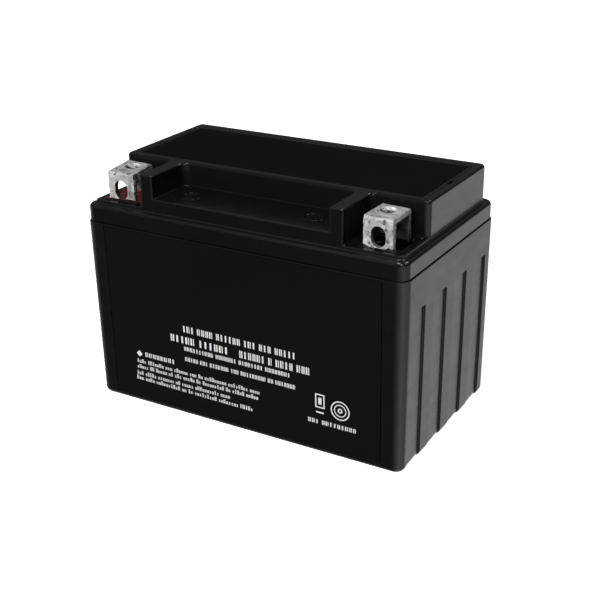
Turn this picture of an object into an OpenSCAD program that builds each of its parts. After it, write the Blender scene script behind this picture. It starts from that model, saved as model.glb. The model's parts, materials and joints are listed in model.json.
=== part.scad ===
// Sealed 12 V motorcycle battery: moulded container and stepped lid, two box
// terminals potted into corner pockets, six cells of pasted plates in series,
// and a row of six rubber relief valves under a lift-off cover.
// Millimetres, +Z up. The origin is the centre of the base. +X runs along the
// long side towards the negative terminal, -Y is the labelled front.
// Name endings: _l length, _w width, _h height, _t thickness, _r radius,
// _d diameter (depth for the channels), _x _y _z place.

/* [Case] */
// Length of the container at its rim
case_l = 150; // [147:0.5:153]
// Width of the container at its rim
case_w = 87; // [86:0.5:89]
// Height of the seam between container and lid
seam_z = 81.5; // [81:0.5:83]
// How far each wall leans in from rim to foot
wall_draft = 0.8; // [0.4:0.1:1]
// Radius of the upright corners
corner_r = 5; // [4:0.5:6]
// Rounding where the walls meet the base
foot_r = 2.6; // [1.6:0.2:3.2]
// Thickness of the container floor
floor_t = 2.4; // [2:0.1:3]
// Thickness of the front and back walls
side_t = 2.2; // [1.8:0.1:2.4]
// Thickness of the end walls at the ribs
end_t = 4.2; // [4:0.1:4.6]
// Thickness of the walls between the cells
partition_t = 1.8; // [1.4:0.1:2.2]

/* [End channels] */
// Width of one upright channel in the end walls
channel_w = 12.4; // [10:0.2:13]
// Distance from one channel to the next
channel_pitch = 20; // [19:0.5:20.5]
// Shift of the row of channels towards the front
channel_shift = 1.3; // [0:0.1:2]
// Depth of the channels at their back wall
channel_d = 0.9; // [0.7:0.1:1.5]
// Depth of the channels at their front edge
channel_d_front = 0.35; // [0.2:0.05:0.6]
// Height at which the channels end
channel_top = 66.7; // [60:0.5:70]

/* [Lid] */
// Overall height of the battery
case_h = 105; // [104.5:0.5:107]
// Inset of the lid skirt from the container rim
skirt_inset = 0.5; // [0.2:0.1:0.8]
// Height of the narrow ledge round the lid
ledge_z = 89.1; // [88.8:0.1:89.4]
// Height of the terminal pocket floors
deck_z = 90.6; // [90.4:0.1:91]
// Height of the floor of the middle pocket
tray_z = 95; // [94.5:0.25:96]
// Distance of the raised parts from the lid skirt at the ends
step_in = 2.85; // [2.6:0.05:3]
// Width of the two ribs that divide the front of the lid
rib_w = 6.2; // [5:0.2:7]
// Distance from the middle to the inner face of a dividing rib
rib_x = 41; // [40:0.5:42]
// Front face of the rear block, measured from the middle
block_y = -17.25; // [-17.5:0.25:-16]
// Rounding of the upper edges
edge_r = 1.4; // [0.8:0.1:1.6]

/* [Valve cover] */
// Length of the cover over the valves
cover_l = 136.4; // [135:0.2:138]
// Width of the cover over the valves
cover_w = 46.5; // [44:0.5:47]
// Thickness of the cover
cover_t = 2; // [1.6:0.1:2.2]
// Outer diameter of a valve cap
cap_d = 12; // [11:0.2:13]
// Height of a valve cap
cap_h = 4.6; // [4.2:0.1:4.8]

/* [Terminals] */
// Width of a terminal along the case
term_x = 12.8; // [12:0.2:14]
// Depth of a terminal from front leg to back leg
term_y = 17; // [16:0.2:17.4]
// Height of the top of a terminal
term_top = 102.6; // [101.5:0.1:103]
// Thickness of the terminal walls
term_t = 2.2; // [1.8:0.1:2.4]
// Diameter of the bolt hole in the top
term_hole = 6.4; // [5.4:0.1:6.6]
// Width of the slot in the front leg
slot_w = 6.2; // [5.4:0.1:6.6]
// Height of the slot in the front leg
slot_h = 8.2; // [7:0.2:8.6]
// Diameter of the lead posts
post_d = 8; // [7:0.5:9]

/* [Cells] */
// Thickness of a positive plate
pos_t = 1.8; // [1.6:0.05:1.9]
// Thickness of a negative plate
neg_t = 1.35; // [1.2:0.05:1.4]
// Thickness of the glass mat on each side of a positive plate
mat_t = 0.92; // [0.8:0.02:0.95]
// Width of the plates
plate_w = 76; // [70:1:78]
// Height of the plates
plate_h = 61; // [56:1:62]

/* [Hidden] */
$fn = 64;
cut = 1; // overshoot of a cut past the face it opens
half_l = case_l / 2;
half_w = case_w / 2;
lean = atan(wall_draft / seam_z);

// cell space and cells, counted from the positive (-X) end
cells = 6;
inner_x = half_l - end_t - 0.2;
inner_y = half_w - side_t - 0.3;
cell_l = (2 * inner_x - (cells - 1) * partition_t) / cells;
cell_pitch = cell_l + partition_t;
function cell_x(i) = -inner_x + cell_l / 2 + i * cell_pitch;

// raised parts of the lid
front_y = -(half_w - 3.3);
back_y = half_w - 4.1;

// terminals, centred over the end cells
term_cx = -cell_x(0);
term_cy = front_y + 3.8 + term_y / 2;
well_z = deck_z - 2.2;

// valves and their cover
valve_y = (block_y + back_y) / 2;
valve_deck = 96.6;
nozzle_top = valve_deck + 3.5;
nozzle_d = 9;
cover_cy = block_y + 3.75 + cover_w / 2;
cover_z = case_h - cover_t;
cover_r = 2;

// plates, straps and welds
plate_z = floor_t + 2.6;
plate_top = plate_z + plate_h;
strap_z = plate_top + 4;
strap_t = 3.5;
weld_z = strap_z + 7.2;
weld_d = 7;

// the series links step from one side of the battery to the other: place of the
// negative strap of a cell; its positive strap is opposite
function neg_strap_y(i) = (i % 2 == 0 ? -1 : 1) * term_cy;

// ---- placing and basic shapes ------------------------------------------
// extrude a side view along X or Y, centred on the origin
module along_x(length) {
    translate([-length / 2, 0, 0]) rotate([90, 0, 90])
        linear_extrude(height = length) children();
}
module along_y(length) {
    translate([0, length / 2, 0]) rotate([90, 0, 0])
        linear_extrude(height = length) children();
}
module at_corners(x, y) {
    for (sx = [-1, 1], sy = [-1, 1]) translate([sx * x, sy * y, 0]) children();
}
module at_valves(z) {
    for (i = [0 : cells - 1]) translate([cell_x(i), valve_y, z]) children();
}
// end is -1 for the positive terminal, 1 for the negative
module at_terminal(end, z) {
    translate([end * term_cx, term_cy, z]) children();
}
// through the partitions, with Z turned along X
module at_welds() {
    for (i = [0 : cells - 2])
        translate([cell_x(i) + cell_pitch / 2, neg_strap_y(i), weld_z])
            rotate([0, 90, 0]) children();
}
// foot of the front wall, tilted with it; +Y runs into the wall
module on_front_wall() {
    translate([0, -(half_w - wall_draft), 0]) rotate([lean, 0, 0]) children();
}

module plain_box(x0, x1, y0, y1, z0, z1) {
    translate([x0, y0, z0]) cube([x1 - x0, y1 - y0, z1 - z0]);
}
module round_plate(half_x, half_y, height, corner) {
    linear_extrude(height = height) {
        square([2 * half_x, 2 * (half_y - corner)], center = true);
        square([2 * (half_x - corner), 2 * half_y], center = true);
        at_corners(half_x - corner, half_y - corner) circle(r = corner);
    }
}

// side view with rounded upper corners
module soft_profile(half, height, edge) {
    translate([-half, 0]) square([2 * half, height - edge]);
    translate([-(half - edge), 0]) square([2 * (half - edge), height]);
    for (s = [-1, 1]) translate([s * (half - edge), height - edge]) circle(r = edge);
}
// the part of such a view that is turned to make an upright corner
module corner_profile(corner, height, edge) {
    intersection() {
        union() {
            square([corner, height - edge]);
            square([corner - edge, height]);
            translate([corner - edge, height - edge]) circle(r = edge);
        }
        square([corner + 1, height + 1]);
    }
}
// upright box with rounded corners and a rounded upper edge
module soft_box(half_x, half_y, height, corner, edge) {
    along_y(2 * (half_y - corner)) soft_profile(half_x, height, edge);
    along_x(2 * (half_x - corner)) soft_profile(half_y, height, edge);
    at_corners(half_x - corner, half_y - corner)
        rotate_extrude() corner_profile(corner, height, edge);
}

// side view standing on a rounded foot: half is the half width at the rim,
// leaning in by draft at the foot
module drafted_profile(half, height, foot, draft) {
    half_at_foot = half - draft * (height - foot) / height;
    blend = 0.005; // lets the foot circles reach just past the sloping wall
    margin = 5;
    intersection() {
        polygon([[-(half - draft), 0], [half - draft, 0], [half, height], [-half, height]]);
        union() {
            translate([-(half + margin), foot]) square([2 * (half + margin), height]);
            translate([-(half_at_foot - foot), -1])
                square([2 * (half_at_foot - foot), height + 2]);
            for (s = [-1, 1])
                translate([s * (half_at_foot - foot), foot]) circle(r = foot + blend);
        }
    }
}
module drafted_box(half_x, half_y, height, corner, foot, draft) {
    core_x = half_x - corner;
    core_y = half_y - corner;
    margin = 5;
    wide_x = half_x + 8;
    wide_y = half_y + 8;
    blend = 0.01; // lets the corner cones reach just past the flat walls
    intersection() {
        along_y(2 * (half_y + margin)) drafted_profile(half_x, height, foot, draft);
        along_x(2 * (half_x + margin)) drafted_profile(half_y, height, foot, draft);
        union() {
            plain_box(-core_x, core_x, -wide_y, wide_y, -1, height + 1);
            plain_box(-wide_x, wide_x, -core_y, core_y, -1, height + 1);
            at_corners(core_x, core_y)
                cylinder(h = height, r1 = corner - draft + blend, r2 = corner + blend);
        }
    }
}

// ---- container ---------------------------------------------------------
label_half_l = 65.1;
label_z0 = 3.5;
label_z1 = 80.8;
label_sink = 0.08; // face of the label behind the face of the wall
recess_depth = 0.3;
recess_gap_x = 0.3;
recess_gap_z = 0.1;

module cell_columns(z0, z1) {
    for (i = [0 : cells - 1])
        plain_box(cell_x(i) - cell_l / 2, cell_x(i) + cell_l / 2, -inner_y, inner_y, z0, z1);
}
// one channel, cut from below up to a square end, its floor deeper towards the back
module end_channel(y) {
    over = 3;
    translate([half_l - wall_draft, y, 0]) rotate([0, lean, 0]) translate([0, 0, -over])
        linear_extrude(height = channel_top + over)
            polygon([[-channel_d_front, -channel_w / 2], [over, -channel_w / 2],
                     [over, channel_w / 2], [-channel_d, channel_w / 2]]);
}
module container() {
    recess_half_l = label_half_l + recess_gap_x;
    color([0.06, 0.06, 0.065]) difference() {
        drafted_box(half_l, half_w, seam_z, corner_r, foot_r, wall_draft);
        cell_columns(floor_t, seam_z + cut);
        at_welds() cylinder(h = partition_t + cut, d = weld_d, center = true);
        // four channels in each end
        for (s = [0, 1]) mirror([s, 0, 0])
            for (k = [-1.5 : 1 : 1.5]) end_channel(k * channel_pitch - channel_shift);
        on_front_wall()
            plain_box(-recess_half_l, recess_half_l, -cut, recess_depth,
                      label_z0 - recess_gap_z, label_z1 + recess_gap_z);
    }
}
module front_label() {
    color([0.05, 0.05, 0.055]) on_front_wall()
        plain_box(-label_half_l, label_half_l, label_sink, recess_depth, label_z0, label_z1);
}

// ---- lid ---------------------------------------------------------------
skirt_x = half_l - skirt_inset;
skirt_y = half_w - skirt_inset;
skirt_r = corner_r - 0.5;
skirt_edge = 1.7;
seam_groove = 0.5; // depth and height of the groove under the skirt
raised_x = skirt_x - step_in;
lap = 2; // how far each raised part reaches into the one below
mark_x = 28.4;
mark_y = -28.6;
mark_d = 9;
mark_bore = 7.4;
mark_h = 0.35;
roof_t = 2.6; // over the cells, under the valves, front and back of the block
thin_t = 2.4; // ends of the block, front and floor of the middle pocket
boss_d = 18;
boss_h = 4.4;
boss_drop = 4.2; // underside of a boss below the well floor
valve_bore = 5;
rebate_gap = 0.12;
chamber_in = 1.6; // chamber wall inside the cover edge, also its corner radius
notch_y = 5.8;
notch_w = 5;
notch_reach = 1.3;
notch_lift = 0.4; // notch floor above the rebate floor

// terminal wells and their filling
well_gap_x = 2.6;
well_gap_y = 1.6;
well_r = 2.4;
post_gap = 0.3;
ring_seat = 1.05; // half the depth of the ring groove
ring_groove_w = 4.3; // ring groove diameter beyond the post's

module well_plate(height, inset = 0) {
    round_plate(term_x / 2 + well_gap_x - inset, term_y / 2 + well_gap_y - inset,
                height, well_r - inset);
}
// outline of the cover, moved in by inset
module cover_plate(inset, height, corner) {
    round_plate(cover_l / 2 - inset, cover_w / 2 - inset, height, corner);
}
// block that stands on the level z0
module raised_part(half_x, y0, y1, z0, z1, corner, edge) {
    translate([0, (y0 + y1) / 2, z0 - lap])
        soft_box(half_x, (y1 - y0) / 2, z1 - z0 + lap, corner, edge);
}
module lid_shell() {
    // skirt with the seam groove under it
    translate([0, 0, seam_z])
        round_plate(skirt_x - seam_groove, skirt_y - seam_groove, 2, skirt_r - seam_groove);
    translate([0, 0, seam_z + seam_groove])
        soft_box(skirt_x, skirt_y, ledge_z - seam_z - seam_groove, skirt_r, skirt_edge);
    // step that carries the pockets
    raised_part(raised_x, front_y, back_y, ledge_z, deck_z, corner = 2.2, edge = 0.6);
    // floor of the middle pocket
    raised_part(rib_x + rib_w / 2, front_y, 0, deck_z, tray_z, corner = 1.2, edge = 0.9);
    // dividing ribs
    for (s = [-1, 1]) translate([s * (rib_x + rib_w / 2), 0, 0])
        raised_part(rib_w / 2, front_y, 0, deck_z, case_h, corner = 1.2, edge = 1.1);
    // rear block
    raised_part(raised_x, block_y, back_y, deck_z, case_h, corner = 2.6, edge = edge_r);
    // round marks on the floor of the middle pocket
    for (s = [-1, 1]) translate([s * mark_x, mark_y, tray_z - 1])
        difference() {
            cylinder(h = 1 + mark_h, d = mark_d);
            translate([0, 0, 1]) cylinder(h = 1, d = mark_bore);
        }
}
// open cells under the lid, parted by walls that meet the container's
module lid_hollow() {
    z0 = seam_z - 1;
    block_x = raised_x - thin_t;
    tray_x = rib_x + 3;
    intersection() {
        union() {
            plain_box(-inner_x, inner_x, -inner_y, inner_y, z0, ledge_z - roof_t);
            plain_box(-block_x, block_x, block_y + roof_t, back_y - roof_t,
                      z0, valve_deck - roof_t);
            plain_box(-tray_x, tray_x, front_y + thin_t, block_y + 4, z0, tray_z - thin_t);
        }
        cell_columns(seam_z - 2, case_h);
    }
}
module lid() {
    color([0.055, 0.055, 0.06]) difference() {
        union() {
            difference() {
                lid_shell();
                lid_hollow();
                // valve chamber and the rebate that holds the cover
                translate([0, cover_cy, valve_deck]) cover_plate(chamber_in, case_h, chamber_in);
                translate([0, cover_cy, cover_z])
                    cover_plate(-rebate_gap, case_h, cover_r + rebate_gap);
                // notch at the +X end for prising the cover up
                plain_box(cover_l / 2 - 1, cover_l / 2 + notch_reach,
                          notch_y, notch_y + notch_w, cover_z + notch_lift, case_h + cut);
            }
            // bosses under the terminals
            for (end = [-1, 1]) at_terminal(end, well_z - boss_drop)
                cylinder(h = boss_h, d = boss_d);
            // valve nozzles
            at_valves(valve_deck - 1) cylinder(h = nozzle_top - valve_deck + 1, d = nozzle_d);
        }
        at_valves(valve_deck - 4) cylinder(h = 10, d = valve_bore);
        for (end = [-1, 1]) at_terminal(end, well_z) {
            // well that the potting fills
            well_plate(6);
            // post bore and ring groove
            translate([0, 0, -6]) cylinder(h = 8, d = post_d + post_gap);
            translate([0, 0, -2 * ring_seat]) cylinder(h = 3, d = post_d + ring_groove_w);
        }
    }
}

// ---- valves ------------------------------------------------------------
cover_edge = 0.3;
rim_out = 1.75; // faces of the locating wall, in from the cover edge
rim_in = 3;
rim_h = 1.2;
stop_d = 5;
stop_h = 0.7;
cap_z = valve_deck + 0.3;
cap_rim = 0.6; // height of the step round the top of a cap
cap_step = 1.6; // loss of diameter at that step
cap_gap = 0.1;

module vent_cover() {
    color([0.05, 0.05, 0.055]) {
        translate([0, cover_cy, cover_z]) difference() {
            union() {
                soft_box(cover_l / 2, cover_w / 2, cover_t, cover_r, cover_edge);
                // locating wall under the plate
                translate([0, 0, -rim_h]) cover_plate(rim_out, rim_h + 0.1, 1.45);
            }
            translate([0, 0, -3]) cover_plate(rim_in, 3, 1);
        }
        // stops above the valve caps
        at_valves(cover_z - stop_h) cylinder(h = stop_h + 0.2, d = stop_d);
    }
}
// cap that rests on top of its nozzle
module valve_cap(i) {
    color([0.09, 0.09, 0.09]) translate([cell_x(i), valve_y, cap_z]) difference() {
        union() {
            cylinder(h = cap_h - cap_rim, d = cap_d);
            cylinder(h = cap_h, d = cap_d - cap_step);
        }
        translate([0, 0, -cut]) cylinder(h = nozzle_top - cap_z + cut, d = nozzle_d + cap_gap);
    }
}
module valve_cap_1() valve_cap(0);
module valve_cap_2() valve_cap(1);
module valve_cap_3() valve_cap(2);
module valve_cap_4() valve_cap(3);
module valve_cap_5() valve_cap(4);
module valve_cap_6() valve_cap(5);

// ---- terminals ---------------------------------------------------------
term_edge = 1.2;
term_inner_edge = 0.6;
hole_y = 1.4; // bolt hole behind the middle of the terminal
slot_z = 2.5;
seal_inset = 0.4; // the proud part of the potting, in from the well wall
seal_proud = 0.5;
ring_r = 1;

module terminal(end) {
    height = term_top - well_z;
    color([0.72, 0.72, 0.71]) at_terminal(end, well_z) difference() {
        along_x(term_x) soft_profile(term_y / 2, height, term_edge);
        translate([0, 0, term_t]) along_x(term_x + 2 * cut)
            soft_profile(term_y / 2 - term_t, height - 2 * term_t, term_inner_edge);
        // bolt hole in the top
        translate([0, hole_y, height - term_t - cut])
            cylinder(h = term_t + 2 * cut, d = term_hole);
        // upright slot through the front leg
        translate([0, term_t + cut - term_y / 2, slot_z]) rotate([90, 0, 0])
            linear_extrude(height = term_t + 2 * cut) {
                for (y = [slot_w / 2, slot_h - slot_w / 2]) translate([0, y]) circle(d = slot_w);
                translate([-slot_w / 2, slot_w / 2]) square([slot_w, slot_h - slot_w]);
            }
        // seat of the lead post in the foot
        translate([0, 0, -cut]) cylinder(h = term_t + 2 * cut, d = post_d);
    }
}
module positive_terminal() terminal(-1);
module negative_terminal() terminal(1);

// potting poured round the foot of a terminal; it fills the well, runs through
// the open sides and stands a little proud of the pocket floor
module potting(end) {
    at_terminal(end, well_z) difference() {
        union() {
            well_plate(deck_z - well_z);
            translate([0, 0, seal_proud]) well_plate(deck_z - well_z, seal_inset);
        }
        // the foot plate and the two legs
        plain_box(-term_x / 2, term_x / 2, -term_y / 2, term_y / 2, -cut, term_t);
        for (k = [-1, 1]) translate([0, k * (term_y - term_t) / 2, 0])
            plain_box(-term_x / 2, term_x / 2, -term_t / 2, term_t / 2, -cut, 6);
    }
}
module positive_terminal_seal() color([0.55, 0.06, 0.05]) potting(-1);
module negative_terminal_seal() color([0.03, 0.03, 0.03]) potting(1);

// lead post from the top of the strap to the top of the terminal foot
module post(end) {
    z0 = strap_z + strap_t;
    color([0.52, 0.53, 0.55]) at_terminal(end, z0)
        cylinder(h = well_z + term_t - z0, d = post_d);
}
module positive_post() post(-1);
module negative_post() post(1);

module post_ring(end) {
    color([0.1, 0.1, 0.1]) at_terminal(end, well_z - ring_seat)
        rotate_extrude() translate([post_d / 2 + ring_seat, 0]) circle(r = ring_r);
}
module positive_post_ring() post_ring(-1);
module negative_post_ring() post_ring(1);

// ---- cells -------------------------------------------------------------
// plates stand across the battery; from one partition to the next they run
// negative, positive, negative ... with a folded glass mat round each positive
pos_count = 4;
plate_pitch = neg_t + pos_t + 2 * mat_t;
stack_l = pos_count * plate_pitch + neg_t;
plate_gap = 0.02;
lug_w = 9;
mat_side = 1.5; // how far the mat reaches past the plates
mat_below = 1.2;
mat_above = 1.6;
strap_w = 12;
strap_gap = 0.05; // between a strap and the partition
tab_w = 10;
tab_t = 2.2;
weld_gap = 0.04; // on the diameter

function neg_x(i, k) = cell_x(i) - stack_l / 2 + k * plate_pitch;
function pos_x(i, k) = neg_x(i, k) + neg_t + mat_t;

// plate in a space of the given thickness, with its lug up to the strap
module plate(x, thickness, lug_y) {
    x0 = x + plate_gap;
    x1 = x + thickness - plate_gap;
    plain_box(x0, x1, -plate_w / 2, plate_w / 2, plate_z, plate_top);
    plain_box(x0, x1, lug_y - lug_w / 2, lug_y + lug_w / 2, plate_top - 0.5, strap_z);
}
module positive_plates(i) {
    color([0.30, 0.17, 0.12]) for (k = [0 : pos_count - 1])
        plate(pos_x(i, k), pos_t, -neg_strap_y(i));
}
module negative_plates(i) {
    color([0.45, 0.46, 0.48]) for (k = [0 : pos_count])
        plate(neg_x(i, k), neg_t, neg_strap_y(i));
}
module separators(i) {
    mat_y = plate_w / 2 + mat_side;
    color([0.92, 0.92, 0.90]) for (k = [0 : pos_count - 1]) difference() {
        plain_box(pos_x(i, k) - mat_t, pos_x(i, k) + pos_t + mat_t,
                  -mat_y, mat_y, plate_z - mat_below, plate_top + mat_above);
        plain_box(pos_x(i, k), pos_x(i, k) + pos_t,
                  -plate_w, plate_w, plate_z - plate_gap, plate_top + 5);
    }
}
// cast strap over the lugs of one polarity, with an upright tab against the
// partition it is welded through; tab is -1 or 1 along X, or 0 for none
module strap(i, y, tab) {
    half = cell_l / 2 - strap_gap;
    color([0.55, 0.56, 0.58]) {
        plain_box(cell_x(i) - half, cell_x(i) + half,
                  y - strap_w / 2, y + strap_w / 2, strap_z, strap_z + strap_t);
        if (tab != 0) {
            x = cell_x(i) + tab * (half - tab_t / 2);
            plain_box(x - tab_t / 2, x + tab_t / 2, y - tab_w / 2, y + tab_w / 2,
                      strap_z + strap_t - 0.5, weld_z);
            translate([x, y, weld_z]) rotate([0, 90, 0])
                cylinder(h = tab_t, d = tab_w, center = true);
        }
    }
}
module positive_strap(i) strap(i, -neg_strap_y(i), i == 0 ? 0 : -1);
module negative_strap(i) strap(i, neg_strap_y(i), i == cells - 1 ? 0 : 1);

module intercell_welds() {
    color([0.6, 0.6, 0.62]) at_welds()
        cylinder(h = partition_t + 2 * strap_gap, d = weld_d - weld_gap, center = true);
}

container();
lid();
vent_cover();
front_label();
positive_terminal();
negative_terminal();
positive_terminal_seal();
negative_terminal_seal();
positive_post();
negative_post();
positive_post_ring();
negative_post_ring();
valve_cap_1();
valve_cap_2();
valve_cap_3();
valve_cap_4();
valve_cap_5();
valve_cap_6();
positive_plates(0);  // positive_plates_1
negative_plates(0);  // negative_plates_1
separators(0);  // separators_1
positive_strap(0);  // positive_strap_1
negative_strap(0);  // negative_strap_1
positive_plates(1);  // positive_plates_2
negative_plates(1);  // negative_plates_2
separators(1);  // separators_2
positive_strap(1);  // positive_strap_2
negative_strap(1);  // negative_strap_2
positive_plates(2);  // positive_plates_3
negative_plates(2);  // negative_plates_3
separators(2);  // separators_3
positive_strap(2);  // positive_strap_3
negative_strap(2);  // negative_strap_3
positive_plates(3);  // positive_plates_4
negative_plates(3);  // negative_plates_4
separators(3);  // separators_4
positive_strap(3);  // positive_strap_4
negative_strap(3);  // negative_strap_4
positive_plates(4);  // positive_plates_5
negative_plates(4);  // negative_plates_5
separators(4);  // separators_5
positive_strap(4);  // positive_strap_5
negative_strap(4);  // negative_strap_5
positive_plates(5);  // positive_plates_6
negative_plates(5);  // negative_plates_6
separators(5);  // separators_6
positive_strap(5);  // positive_strap_6
negative_strap(5);  // negative_strap_6
intercell_welds();
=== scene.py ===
# A sealed lead battery of six cells. It stands on z = 0 with its length along x and its width
# along y. The front, with the printed film, faces -y. The two terminals stand in pockets at the
# front corners of the lid, positive at -x and negative at +x; the valve cover is behind them.
import functools
import itertools
import json
import math
from collections import namedtuple

import bpy
import numpy as np
from mathutils import Matrix, Vector


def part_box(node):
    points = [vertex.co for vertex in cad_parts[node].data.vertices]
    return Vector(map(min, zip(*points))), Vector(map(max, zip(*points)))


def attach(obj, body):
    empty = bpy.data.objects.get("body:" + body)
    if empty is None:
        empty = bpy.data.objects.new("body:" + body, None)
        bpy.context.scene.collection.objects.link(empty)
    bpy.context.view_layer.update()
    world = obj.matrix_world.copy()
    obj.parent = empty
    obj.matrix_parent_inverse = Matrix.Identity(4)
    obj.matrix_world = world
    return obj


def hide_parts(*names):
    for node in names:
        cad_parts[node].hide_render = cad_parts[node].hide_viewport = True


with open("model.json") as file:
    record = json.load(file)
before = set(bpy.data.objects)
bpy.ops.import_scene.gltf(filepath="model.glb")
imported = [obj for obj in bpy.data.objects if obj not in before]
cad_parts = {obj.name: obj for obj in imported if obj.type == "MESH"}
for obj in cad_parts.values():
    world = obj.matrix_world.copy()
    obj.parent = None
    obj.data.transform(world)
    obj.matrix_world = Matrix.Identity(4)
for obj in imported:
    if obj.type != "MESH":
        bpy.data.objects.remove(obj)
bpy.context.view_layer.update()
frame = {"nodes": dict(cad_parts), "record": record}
nodes = frame["nodes"]


def box_mm(node):
    low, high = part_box(node)
    return np.array(low) * 1000.0, np.array(high) * 1000.0


# ---------------------------------------------------------------- sizes, in mm
HALF_LENGTH, HALF_WIDTH, SEAM = box_mm("container")[1]    # at the rim, where the lid sits
SKIRT_X, SKIRT_Y, TOP = box_mm("lid")[1]                  # half sizes of the lid skirt
DRAFT = 0.8                                # lean of each container side from rim to foot
CORNER, FOOT = 5.0, 2.6                    # radii of the upright corners and the bottom edge
FLOOR = 2.4
MARGIN = 0.3                               # space left round a piece by its sampling grid

# heights of the lid's levels
LEDGE, DECK, TRAY, VALVE_DECK = 89.1, 90.6, 95.0, 96.6
WELL = DECK - 2.2

# plan of the raised part of the lid
RAISED_X = SKIRT_X - 2.85
FRONT, BACK = -(HALF_WIDTH - 3.3), HALF_WIDTH - 4.1
BLOCK_FRONT = -17.25
RIB_X, RIB_HALF = 44.1, 3.1                # ribs between the middle and terminal pockets

# cells
CELL_LENGTH, CELL_WALL = 22.0333, 1.8
CELLS = [(i - 2.5) * (CELL_LENGTH + CELL_WALL) for i in range(6)]
WALL_LINES = (0, 23.8333, 47.6667)         # where the grids are finer, over the cell walls
INSIDE_X, INSIDE_Y = 70.6, 41.0            # half sizes of the hollow

# upright channels in the two ends
CHANNEL_COUNT, CHANNEL_FIRST, CHANNEL_PITCH = 4, -31.3, 20
CHANNEL_WIDTH, CHANNEL_TOP = 12.4, 66.7
CHANNEL_DEPTH = (0.35, 0.9)                # at the front edge and at the back wall

# valve chamber and its cover
cover_low, cover_high = box_mm("vent_cover")
COVER_Y = (cover_low[1] + cover_high[1]) / 2
COVER_HALF_X = (cover_high[0] - cover_low[0]) / 2
COVER_HALF_Y = (cover_high[1] - cover_low[1]) / 2
COVER_SEAT = TOP - 2.0
VALVE_Y = (BLOCK_FRONT + BACK) / 2

# terminals: the centre of the one at +x, the other mirrors it
terminal_low, terminal_high = box_mm("negative_terminal")
TERMINAL_X = (terminal_low[0] + terminal_high[0]) / 2
TERMINAL_Y = (terminal_low[1] + terminal_high[1]) / 2
TERMINAL_TOP = terminal_high[2]
TERMINAL_HALF_Y = 8.5


# ------------------------------------------------------- distance-field tools
# A field is negative inside a solid and grows roughly with the distance from its surface.
def hypot(a, b):
    return np.sqrt(a * a + b * b)


def round_both(a, b, radius):
    """Inside both: the meeting edge is rounded."""
    beyond = hypot(np.maximum(a + radius, 0), np.maximum(b + radius, 0))
    return np.minimum(np.maximum(a, b), -radius) + beyond


def round_either(a, b, radius):
    """Inside either: the inner corner is filled."""
    return -round_both(-a, -b, radius)


def round_rect(x, y, half_x, half_y, radius):
    over_x, over_y = np.abs(x) - half_x + radius, np.abs(y) - half_y + radius
    outside = hypot(np.maximum(over_x, 0), np.maximum(over_y, 0))
    return outside + np.minimum(np.maximum(over_x, over_y), 0) - radius


def all_of(*fields):
    return functools.reduce(np.maximum, fields)


def any_of(*fields):
    return functools.reduce(np.minimum, fields)


def join_floor(walls, plane, bound, edge, fillet):
    """Adds the ground below plane and inside bound, with a rounded rim and a fillet at the walls."""
    rim = np.minimum(round_both(bound, plane, edge), np.maximum(bound, walls - fillet - 0.1))
    return np.minimum(walls, np.maximum(round_either(walls, plane, fillet), rim))


def waves(seed, count, length):
    """A smooth, repeatable unevenness of about -1 to 1, from waves of about length mm."""
    random = np.random.RandomState(seed)
    ways = random.normal(size=(count, 3))
    lengths = length * random.uniform(0.7, 1.4, count)
    ways = ways / np.linalg.norm(ways, axis=1)[:, None] * (2 * math.pi / lengths)[:, None]
    phases = random.uniform(0, 2 * math.pi, count)

    def unevenness(x, y, z):
        total = 0
        for (per_x, per_y, per_z), phase in zip(ways, phases):
            total = total + np.sin(per_x * x + per_y * y + per_z * z + phase)
        return total / math.sqrt(count) / 1.2

    return unevenness


# ------------------------------------------------------------ meshes from fields
# A mesh is (vertices in mm, quads, vertex normals or None).
def lines(start, stop, base, features, grow=0.45):
    """Grid lines: step apart within half of each feature (place, half, step), base elsewhere."""
    x, found = start, [start]
    while x < stop:
        x += min([base] + [step + grow * max(0.0, abs(x - place) - half)
                           for place, half, step in features])
        found.append(x)
    return np.array(found)


def mirrored(stop, base, features):
    half = lines(0.0, stop, base, features)
    return np.concatenate([-half[:0:-1], half])


def even(start, stop, step):
    return np.arange(start, stop + step, step)


def gradient(field, points, reach=0.01):
    x, y, z = points.T
    return np.stack([field(x + reach, y, z) - field(x - reach, y, z),
                     field(x, y + reach, z) - field(x, y - reach, z),
                     field(x, y, z + reach) - field(x, y, z - reach)], 1) / (2 * reach)


def settle(field, points, low, high, steps=4):
    """Moves points on to field = 0, kept between low and high, and finds the normals there."""
    for _ in range(steps):
        slope = gradient(field, points)
        move = field(*points.T) / np.maximum((slope * slope).sum(1), 0.2)
        points = np.clip(points - move[:, None] * slope, low, high)
    slope = gradient(field, points)
    return points, slope / np.maximum(np.linalg.norm(slope, axis=1), 1e-9)[:, None]


# The four cells round a grid edge along x, y and z, in the order that faces outwards.
CELLS_ROUND_EDGE = [[(0, -1, -1), (0, 0, -1), (0, 0, 0), (0, -1, 0)],
                    [(-1, 0, -1), (-1, 0, 0), (0, 0, 0), (0, 0, -1)],
                    [(-1, -1, 0), (0, -1, 0), (0, 0, 0), (-1, 0, 0)]]


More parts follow.
